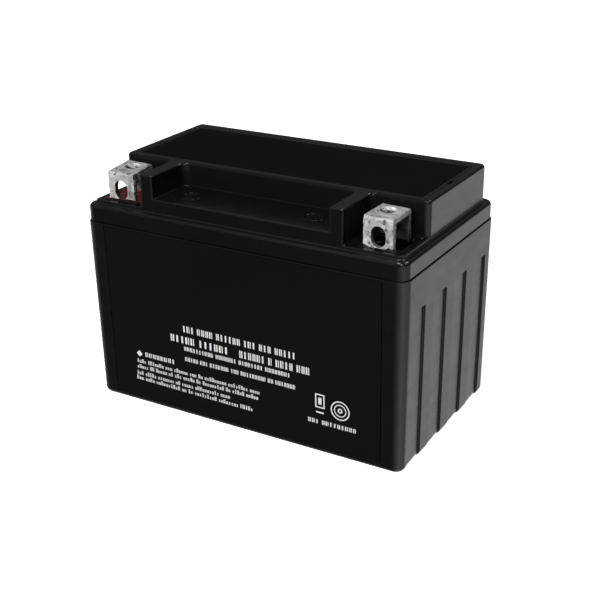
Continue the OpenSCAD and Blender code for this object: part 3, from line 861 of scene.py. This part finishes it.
def channel_walls(surface, normal_y):
    """Mask of the narrow side walls of the end channels."""
    x, y, _ = surface.xyz()
    return surface.times(surface.above(surface.absolute(normal_y), 0.6),
                         surface.above(surface.absolute(x), 0.0724),
                         surface.below(surface.absolute(y), CHANNELS_END))


def case_plastic():
    surface = Surface("case_plastic")
    base, roughness, normal = moulded(surface, (0.0028, 0.0028, 0.0029),
                                      (0.0038, 0.0038, 0.0039), rough=(0.26, 0.36), dust=0.08)
    _, normal_y, normal_z = surface.face_normal()
    # the side walls of the channels are painted a lighter grey: painted light where light falls on
    # them
    base = surface.mix(channel_walls(surface, normal_y), base, 0.030)
    # their sunk faces are untouched by handling and a little glossier than the ribs
    x, y, z = surface.xyz()
    abs_x = surface.absolute(x)
    lean = surface.times(surface.minus(SEAM / 1000, z), 0.0098)
    sunk = surface.times(surface.below(surface.plus(abs_x, lean), (HALF_LENGTH - 0.3) / 1000),
                         surface.above(abs_x, 0.071),
                         surface.below(surface.absolute(y), CHANNELS_END))
    specular = surface.plus(surface.remap(y, to=(0.78, 0.65), over=(-0.032, 0.03)),
                            surface.times(sunk, 0.13))
    # a painted highlight along the top edge of each channel, and a dull step under it
    from_first = surface.plus(y, (CHANNEL_PITCH / 2 - CHANNEL_FIRST) / 1000)
    offset = surface.minus(surface.math("FLOORED_MODULO", from_first, CHANNEL_PITCH / 1000),
                           CHANNEL_PITCH / 2000)
    channel = surface.times(surface.below(surface.absolute(offset), 0.0061),
                            surface.above(abs_x, 0.0728),
                            surface.below(surface.absolute(y), CHANNELS_END))
    painted_top_highlight = surface.times(channel, surface.between(z, 0.06665, 0.06705))
    base = surface.mix(surface.times(painted_top_highlight, 0.7), base, 0.7)
    step = surface.times(channel, surface.below(normal_z, -0.35))
    specular = surface.times(surface.plus(specular, surface.times(painted_top_highlight, 0.25)),
                             surface.remap(step, to=(1.0, 0.2)))
    return surface.finish(Base_Color=base, Roughness=roughness, Specular_IOR_Level=specular,
                          Normal=normal)


def rib_fronts(surface):
    """Masks of the upper front rims, stronger to the right, and of the ribs' upright edges."""
    normal_x, _, normal_z = surface.face_normal()
    x, y, _ = surface.xyz()
    rims = surface.times(surface.below(y, (FRONT + 0.9) / 1000), surface.above(normal_z, 0.25),
                         surface.remap(x, to=(0.10, 0.50), over=(-0.050, 0.04)))
    at_rib = surface.times(surface.below(surface.absolute(x), 0.050),
                           surface.above(surface.absolute(x), 0.030))
    edges = surface.times(surface.below(y, (FRONT + 1.5) / 1000),
                          surface.above(surface.absolute(normal_x), 0.2), at_rib,
                          surface.below(normal_z, 0.25))
    return rims, edges


def pocket_walls(surface):
    """Mask of the walls of the terminal pockets."""
    x, y, z = surface.xyz()
    abs_x = surface.absolute(x)
    return surface.times(
        surface.above(abs_x, 0.0466), surface.below(z, 0.1035),
        surface.times(surface.above(z, 0.0908), surface.above(y, -0.0385)),
        surface.times(surface.below(y, -0.01685), surface.below(abs_x, 0.0695)))


def rib_tops(surface):
    _, y, z = surface.xyz()
    return surface.times(surface.above(z, TOP / 1000 - 0.0006),
                         surface.below(y, BLOCK_FRONT / 1000))


def lid_plastic():
    surface = Surface("lid_plastic")
    base, roughness, normal = moulded(surface, (0.0032, 0.0033, 0.0035),
                                      (0.0044, 0.0045, 0.0048), rough=(0.17, 0.26), dust=0.13)
    rims, edges = rib_fronts(surface)
    specular = surface.plus(rims, 0.5)
    specular = surface.times(specular, surface.remap(edges, to=(1.0, 0.4)))
    # the pocket walls are duller, the tops of the ribs are rubbed glossier
    dull = pocket_walls(surface)
    roughness = surface.plus(roughness, surface.times(dull, 0.4))
    specular = surface.times(specular, surface.remap(dull, to=(1.0, 0.4)))
    specular = surface.plus(specular, surface.times(rib_tops(surface), 0.22))
    return surface.finish(Base_Color=base, Roughness=roughness, Specular_IOR_Level=specular,
                          Normal=normal)


# ---------------------------------------------------------------- cover, film and print
def cover_plastic():
    """Matt on the flat panel of the valve cover and satin at its rim."""
    surface = Surface("cover_plastic")
    x, y, z = surface.xyz()
    panel = surface.times(
        surface.below(surface.absolute(surface.minus(x, 0.0006)), 0.0667),
        surface.below(surface.absolute(surface.minus(y, 0.00905)), 0.0226),
        surface.above(z, TOP / 1000 - 0.0003))
    grain = surface.noise(1300, roughness=0.6)
    satin = surface.mix(surface.noise(30), (0.0034, 0.0035, 0.0038), (0.0046, 0.0047, 0.0050))
    matt = surface.mix(surface.noise(70, detail=4), 0.0026, 0.0034)
    roughness = surface.plus(surface.remap(panel, to=(0.36, 0.62)),
                             surface.remap(grain, to=(-0.03, 0.03)))
    return surface.finish(Base_Color=surface.mix(panel, satin, matt), Roughness=roughness,
                          Specular_IOR_Level=surface.remap(panel, to=(0.5, 0.06)),
                          Normal=surface.bump(grain, 0.00002, strength=0.5))


def label_film():
    """Smooth, with the slightest waviness of an applied label."""
    surface = Surface("label_film")
    waviness = surface.bump(surface.noise(16, detail=2, roughness=0.4), 0.0002, strength=0.25)
    grain = surface.noise(1800, detail=2)
    base = surface.mix(surface.remap(surface.noise(9), over=(0.35, 0.65)),
                       (0.0042, 0.0042, 0.0043), (0.0050, 0.0050, 0.0051))
    return surface.finish(Base_Color=base, Roughness=surface.remap(grain, to=(0.30, 0.36)),
                          Specular_IOR_Level=0.22,
                          Normal=surface.bump(grain, 0.00001, strength=0.4, under=waviness))


def label_print():
    surface = Surface("label_print")
    grain = surface.noise(2500, roughness=0.6)
    return surface.finish(
        Base_Color=surface.ramp(grain, (0.30, 0.52), (0.50, 0.70), (0.75, 0.80)),
        Roughness=surface.remap(grain, to=(0.4, 0.6)),
        Normal=surface.bump(grain, 0.00001, strength=0.5))


# ---------------------------------------------------------------- terminal metal
def terminal_dirt_and_shade(surface, base, x, y, z, left):
    """Dirt, streaked darkening and painted shade by place; left is 1 on the left terminal."""
    front = (TERMINAL_Y - TERMINAL_HALF_Y) / 1000
    # painted shade inside the slot of the front leg
    from_middle = surface.absolute(surface.minus(surface.absolute(x), TERMINAL_X / 1000))
    slot = surface.times(surface.below(from_middle, 0.0041),
                         surface.between(y, front + 0.0004, front + 0.0031),
                         surface.below(z, (WELL + 11.2) / 1000))
    base = surface.mix(surface.times(slot, surface.remap(left, to=(0.75, 0.97))), base,
                       (0.012, 0.011, 0.011))
    # black blotches along the right open side of the left one, which stands askew
    skewed = surface.plus(x, surface.times(surface.minus(y, front), 0.15))
    side = surface.times(left, surface.above(skewed, (6.15 - TERMINAL_X) / 1000))
    blotches = surface.spots(surface.noise(650, roughness=0.6, distortion=0.8), 0.47, 0.53)
    base = surface.mix(surface.times(side, blotches), base, 0.02)
    # darker in streaks towards the right of the left one, and a little darker on the tops
    darker_right = surface.times(left, surface.remap(surface.plus(x, TERMINAL_X / 1000), to=(0.0, 0.75),
                                             over=(0.0024, 0.0050)))
    streaks = surface.spots(surface.noise(420, roughness=0.6, stretch=(1, 1, 0.25),
                                          distortion=0.3), 0.42, 0.56)
    base = surface.mix(surface.times(darker_right, streaks), base, (0.10, 0.10, 0.098))
    tops = surface.above(z, (TERMINAL_TOP - 0.25) / 1000)
    base = surface.mix(surface.times(tops, surface.remap(left, to=(0.20, 0.12))), base, 0.05)
    # painted shade inside the box, deepest low down
    within = surface.times(surface.between(y, front + 0.0021, front + 0.0151),
                           surface.below(z, (TERMINAL_TOP - 1.9) / 1000))
    by_height = surface.remap(z, to=(0.94, 0.68),
                              over=((DECK + 2) / 1000, (TERMINAL_TOP - 3) / 1000))
    shade = surface.math("MAXIMUM", by_height, surface.remap(left, to=(0.0, 0.8)))
    return surface.mix(surface.times(within, shade), base, (0.02, 0.019, 0.019))


def bolt_hole_shade_and_highlight(surface, base, x, y, z, left):
    """The bore has painted shade, uneven by noise, and its far rim a painted highlight."""
    centre_x = surface.remap(left, to=((TERMINAL_X - 0.3) / 1000, -(TERMINAL_X + 1.8) / 1000))
    centre_y = surface.remap(left, to=((TERMINAL_Y + 1.06) / 1000, (TERMINAL_Y + 1.8) / 1000))
    from_x, from_y = surface.minus(x, centre_x), surface.minus(y, centre_y)
    away = surface.math("SQRT", surface.plus(surface.times(from_x, from_x),
                                             surface.times(from_y, from_y)))
    bore = surface.times(surface.below(z, (TERMINAL_TOP - 0.4) / 1000),
                         surface.above(z, (TERMINAL_TOP - 2.7) / 1000),
                         surface.below(away, 0.0036))
    # painted shade in the bore, uneven by noise
    bore_shade = surface.remap(surface.noise(480), to=(0.97, 0.2), over=(0.45, 0.58))
    base = surface.mix(surface.times(bore, bore_shade), base, 0.02)
    # painted highlight on the far rim of the bore
    far_top = surface.times(surface.above(z, (TERMINAL_TOP - 1.0) / 1000),
                            surface.remap(from_y, over=(0.0006, 0.0018)))
    rim = surface.times(surface.between(away, 0.0031, 0.00375), far_top)
    rim_highlight = surface.remap(surface.noise(600), to=(0.35, 0.95), over=(0.4, 0.55))
    return surface.mix(surface.times(rim, rim_highlight), base, 0.88)


def terminal_metal():
    """Dull tinned lead, mottled, with dark pits, painted shade in its hollows and a painted
    highlight on the far rim of its bolt hole.
    """
    surface = Surface("terminal_metal")
    cloud = surface.noise(230, detail=5, roughness=0.62, distortion=0.6)
    fine = surface.noise(900, detail=5, roughness=0.68)
    pits = surface.spots(surface.noise(420, detail=4, roughness=0.6, stretch=(1, 1, 0.7),
                                       distortion=0.8), 0.35, 0.41)
    stain = surface.spots(surface.noise(150, detail=4, roughness=0.6, distortion=1.2),
                          0.34, 0.44)
    base = surface.ramp(cloud, (0.28, 0.16), (0.42, (0.33, 0.33, 0.327)),
                        (0.55, (0.53, 0.53, 0.526)), (0.70, (0.76, 0.76, 0.755)))
    base = surface.mix(surface.remap(fine, to=(0, 0.5), over=(0.3, 0.7)), base,
                       (0.36, 0.36, 0.356))
    base = surface.mix(surface.times(stain, 0.6), base, (0.14, 0.14, 0.138))
    base = surface.mix(surface.times(pits, 0.85), base, 0.035)
    x, y, z = surface.xyz()
    left = surface.below(x, 0.0)
    base = terminal_dirt_and_shade(surface, base, x, y, z, left)
    base = bolt_hole_shade_and_highlight(surface, base, x, y, z, left)
    roughness = surface.plus(surface.remap(cloud, to=(0.30, 0.55), over=(0.3, 0.7)),
                             surface.times(pits, 0.2))
    height = surface.plus(surface.times(fine, 0.5), surface.times(pits, -0.9))
    normal = surface.bump(cloud, 0.0002, strength=0.4)
    normal = surface.bump(height, 0.00010, strength=0.6, under=normal)
    return surface.finish(Base_Color=base, Metallic=0.12, Roughness=roughness, Normal=normal)


# ---------------------------------------------------------------- resin, lead and insides
def red_potting():
    """Red with a faint painted glow, painted light that evens its lighting, sooty where it has run
    out in front of the terminal.
    """
    surface = Surface("red_potting")
    tiny = surface.noise(1100, roughness=0.6)
    _, y, _ = surface.xyz()
    wander = surface.remap(surface.noise(300, detail=2), to=(-0.0006, 0.0006), over=(0.3, 0.7))
    soot = surface.remap(surface.plus(y, wander), to=(1.0, 0.0), over=(-0.0371, -0.0365))
    red = surface.mix(surface.noise(120, distortion=0.5), (0.24, 0.040, 0.044),
                      (0.36, 0.07, 0.075))
    roughness = surface.plus(surface.remap(tiny, to=(0.30, 0.36)), surface.times(soot, 0.45))
    return surface.finish(Base_Color=surface.mix(soot, red, (0.006, 0.005, 0.005)),
                          # painted light: a faint red glow so that the resin looks evenly lit
                          Emission_Color=surface.mix(soot, (0.050, 0.011, 0.013), 0.0),
                          Emission_Strength=1.0, Roughness=roughness,
                          Specular_IOR_Level=surface.remap(soot, to=(0.5, 0.15)),
                          Normal=surface.bump(tiny, 0.00002, strength=0.4))


def black_potting():
    surface = Surface("black_potting")
    cloud = surface.noise(120, distortion=0.5)
    tiny = surface.noise(1100, roughness=0.6)
    normal = surface.bump(cloud, 0.0002, strength=0.4)
    return surface.finish(
        Base_Color=surface.mix(cloud, (0.003, 0.003, 0.0032), (0.006, 0.006, 0.0064)),
        Roughness=surface.remap(tiny, to=(0.09, 0.15)),
        Normal=surface.bump(tiny, 0.00002, strength=0.4, under=normal))


def lead():
    """Cast lead of posts, straps and welds."""
    surface = Surface("lead")
    cloud = surface.noise(160, detail=4, roughness=0.6, distortion=0.4)
    fine = surface.noise(900, detail=4, roughness=0.6)
    base = surface.ramp(cloud, (0.3, (0.20, 0.21, 0.23)), (0.55, (0.33, 0.34, 0.37)),
                        (0.75, (0.46, 0.47, 0.50)))
    normal = surface.bump(cloud, 0.0003, strength=0.5)
    return surface.finish(Base_Color=base, Metallic=0.8,
                          Roughness=surface.remap(fine, to=(0.38, 0.62)),
                          Normal=surface.bump(fine, 0.00008, strength=0.6, under=normal))


def rubber(name, dark, light):
    surface = Surface(name)
    tiny = surface.noise(1700, roughness=0.6)
    bloom = surface.remap(surface.noise(180), over=(0.35, 0.7))
    return surface.finish(Base_Color=surface.mix(bloom, dark, light),
                          Roughness=surface.remap(tiny, to=(0.60, 0.78)),
                          Specular_IOR_Level=0.35,
                          Normal=surface.bump(tiny, 0.00003, strength=0.6))


def paste(name, dark, light, grid_colour):
    """Grainy paste; its grid shows through as a faint lattice."""
    surface = Surface(name)
    cloud = surface.noise(110, detail=5, roughness=0.65)
    grains = surface.node("ShaderNodeTexVoronoi", Vector=surface.place, Scale=1600)
    bars = [surface.math("POWER", band, 6.0)
            for band in (surface.bands("Z", 30, distortion=1.0), surface.bands("Y", 40))]
    grid = surface.math("MAXIMUM", *bars)
    plain = surface.mix(surface.remap(cloud, over=(0.3, 0.7)), dark, light)
    height = surface.plus(surface.times(grains.outputs["Distance"], 0.6),
                          surface.times(grid, 0.5))
    return surface.finish(Base_Color=surface.mix(surface.times(grid, 0.5), plain, grid_colour),
                          Roughness=surface.remap(cloud, to=(0.7, 0.92)),
                          Normal=surface.bump(height, 0.00015, strength=0.7))


def glass_mat():
    """White felt of fibres that run two ways."""
    surface = Surface("glass_mat")
    layers = [surface.noise(900, detail=4, roughness=0.7, stretch=stretch, turn=(turn, 0, 0),
                            distortion=0.6)
              for stretch, turn in (((1, 0.12, 1.0), 0.4), ((1, 1.0, 0.12), -0.5))]
    fibres = surface.math("MAXIMUM", *layers)
    base = surface.ramp(fibres, (0.40, (0.62, 0.62, 0.59)), (0.60, (0.80, 0.80, 0.775)),
                        (0.75, (0.88, 0.88, 0.86)))
    return surface.finish(Base_Color=base, Roughness=surface.remap(fibres, to=(0.85, 0.98)),
                          Normal=surface.bump(fibres, 0.0002, strength=0.7))


# by material slot; label_print has no slot of its own
materials = {
    "case_plastic": case_plastic(),
    "lid_plastic": lid_plastic(),
    "cover_plastic": cover_plastic(),
    "label_film": label_film(),
    "label_print": label_print(),
    "terminal_metal": terminal_metal(),
    "red_potting": red_potting(),
    "black_potting": black_potting(),
    "lead": lead(),
    "ring_rubber": rubber("ring_rubber", 0.010, 0.020),
    "cap_rubber": rubber("cap_rubber", 0.022, (0.042, 0.041, 0.040)),
    "positive_paste": paste("positive_paste", (0.050, 0.020, 0.013), (0.105, 0.048, 0.030),
                            grid_colour=(0.16, 0.10, 0.075)),
    "negative_paste": paste("negative_paste", (0.17, 0.18, 0.19), (0.27, 0.28, 0.29),
                            grid_colour=(0.38, 0.39, 0.41)),
    "glass_mat": glass_mat(),
}


# --------------------------------------------------------------- the pieces
def build_in_slot(name, mesh, slot, stands_for):
    build(name, mesh, materials[slot], stands_for)


build_in_slot("container_shell", container_mesh(), "case_plastic", "container")
build_in_slot("lid_shell", lid_mesh(), "lid_plastic", "lid")
build_in_slot("positive_terminal_box", terminal_mesh(POSITIVE), "terminal_metal",
              "positive_terminal")
build_in_slot("negative_terminal_box", terminal_mesh(NEGATIVE), "terminal_metal",
              "negative_terminal")
build_in_slot("positive_resin", potting_mesh(POSITIVE, seed=41, rough=0.5), "red_potting",
              "positive_terminal_seal")
build_in_slot("negative_resin", joined(potting_mesh(NEGATIVE, seed=57, rough=1.0),
                                       *beads(DECK_BEADS, DECK, seed=70),
                                       *beads(LEDGE_BEADS, LEDGE, seed=90)),
              "black_potting", "negative_terminal_seal")
build("label_print", print_mesh(), materials["label_print"])

for part in frame["record"]["subparts"]:
    slots = nodes[part["node"]].data.materials
    slots.clear()
    slots.append(materials[part["material_slot"]])

# ------------------------------------------------------------ floor, light, camera
scene = bpy.context.scene
scene.view_settings.view_transform = "Standard"
scene.view_settings.look = "None"


def floor_material():
    """Pale and self-lit, so that it stays even."""
    material = bpy.data.materials.new("floor_pale")
    graph = Graph(material)
    both = graph.node("ShaderNodeAddShader")
    graph.feed(both.inputs[0], graph.node("ShaderNodeBsdfDiffuse", Color=0.82).outputs[0])
    graph.feed(both.inputs[1], graph.node("ShaderNodeEmission", Strength=0.86).outputs[0])
    graph.node("ShaderNodeOutputMaterial", Surface=both.outputs[0])
    return material


def make_floor(half=6):
    data = bpy.data.meshes.new("floor")
    corners = [(-half, -half, 0), (half, -half, 0), (half, half, 0), (-half, half, 0)]
    data.from_pydata(corners, [], [(0, 1, 2, 3)])
    floor = bpy.data.objects.new("floor", data)
    scene.collection.objects.link(floor)
    data.materials.append(floor_material())
    floor.visible_glossy = False
    floor.visible_diffuse = False


# Mirrored surroundings below the horizon: bearing in degrees from +x towards +y, brightness.
AROUND = [(-180, 0.38), (-158, 0.30), (-136, 0.036), (-121, 0.026), (-95, 0.085), (-62, 0.42),
          (-26, 0.92), (4, 0.62), (32, 0.40), (45, 0.5), (55, 0.97), (64, 1.08), (66.5, 0.99),
          (69, 0.80), (72, 0.73), (95, 0.7), (140, 0.30), (180, 0.38)]
# Mirrored bluish ceiling: z of the direction, brightness or colour.
ABOVE = [(0.0, 0.05), (0.17, (0.050, 0.055, 0.060)), (0.29, (0.068, 0.074, 0.081)),
         (0.42, (0.122, 0.133, 0.144)), (0.60, (0.150, 0.157, 0.163)),
         (1.0, (0.11, 0.113, 0.116))]


def make_world():
    """White to the camera, an even dim room to matt surfaces, a varied room to glossy ones."""
    world = bpy.data.worlds.new("studio")
    scene.world = world
    graph = Graph(world)
    rays = graph.node("ShaderNodeLightPath").outputs
    x, y, z = graph.split(graph.node("ShaderNodeTexCoord").outputs["Generated"])
    turns = graph.math("DIVIDE", graph.math("ARCTAN2", y, x), 2 * math.pi)
    low = graph.ramp(graph.plus(turns, 0.5),
                     *[((bearing + 180) / 360, level) for bearing, level in AROUND])
    rise = graph.plus(graph.times(z, 0.5), 0.5)
    high = graph.ramp(rise, *[((up_z + 1) / 2, shade) for up_z, shade in ABOVE])
    over_horizon = graph.remap(z, over=(-0.16, 0.02), kind="SMOOTHSTEP")
    mirrored_room = graph.mix(over_horizon, low, high)
    soft = graph.ramp(rise, (0.0, 0.04), (0.45, 0.06), (0.55, 0.10), (1.0, 0.16))
    seen = graph.mix(rays["Is Diffuse Ray"], mirrored_room, soft)
    pick = graph.node("ShaderNodeMixShader")
    graph.feed(pick.inputs[0], rays["Is Camera Ray"])
    graph.feed(pick.inputs[1], graph.node("ShaderNodeBackground", Color=seen).outputs[0])
    graph.feed(pick.inputs[2], graph.node("ShaderNodeBackground", Strength=1.0).outputs[0])
    graph.node("ShaderNodeOutputWorld", Surface=pick.outputs[0])


def area_light(name, place, size, power):
    """A square light aimed at the upper part of the battery."""
    data = bpy.data.lights.new(name, "AREA")
    data.energy = power
    data.size = size
    light = bpy.data.objects.new(name, data)
    scene.collection.objects.link(light)
    light.location = place
    light.rotation_mode = "QUATERNION"
    aim = Vector((0, 0, 0.09)) - Vector(place)
    light.rotation_quaternion = aim.to_track_quat("-Z", "Y")
    return light


def make_camera():
    """Looks down from the front right."""
    place = (0.236772, -0.391699, 0.240654)
    right = (0.86297542, 0.50506373, -0.01356704)
    upward = (-0.18891847, 0.34746671, 0.91846431)
    backward = (0.4685971, -0.79004906, 0.3952711)
    data = bpy.data.cameras.new("camera")
    data.sensor_width = 36.0
    data.lens = 68.5782
    data.clip_start, data.clip_end = 0.01, 50
    camera = bpy.data.objects.new("camera", data)
    scene.collection.objects.link(camera)
    camera.matrix_world = Matrix((*zip(right, upward, backward, place), (0, 0, 0, 1)))
    scene.camera = camera


make_floor()
make_world()
key = area_light("key", (0.0, -1.04, 0.70), size=0.5, power=18.5)
key.visible_glossy = False
for name, place in (("spark_a", (0.32, 0.42, 0.75)), ("spark_b", (0.0, -0.15, 0.95)),
                    ("spark_c", (0.5, -0.4, 0.7))):
    area_light(name, place, size=0.16, power=0.9)
make_camera()
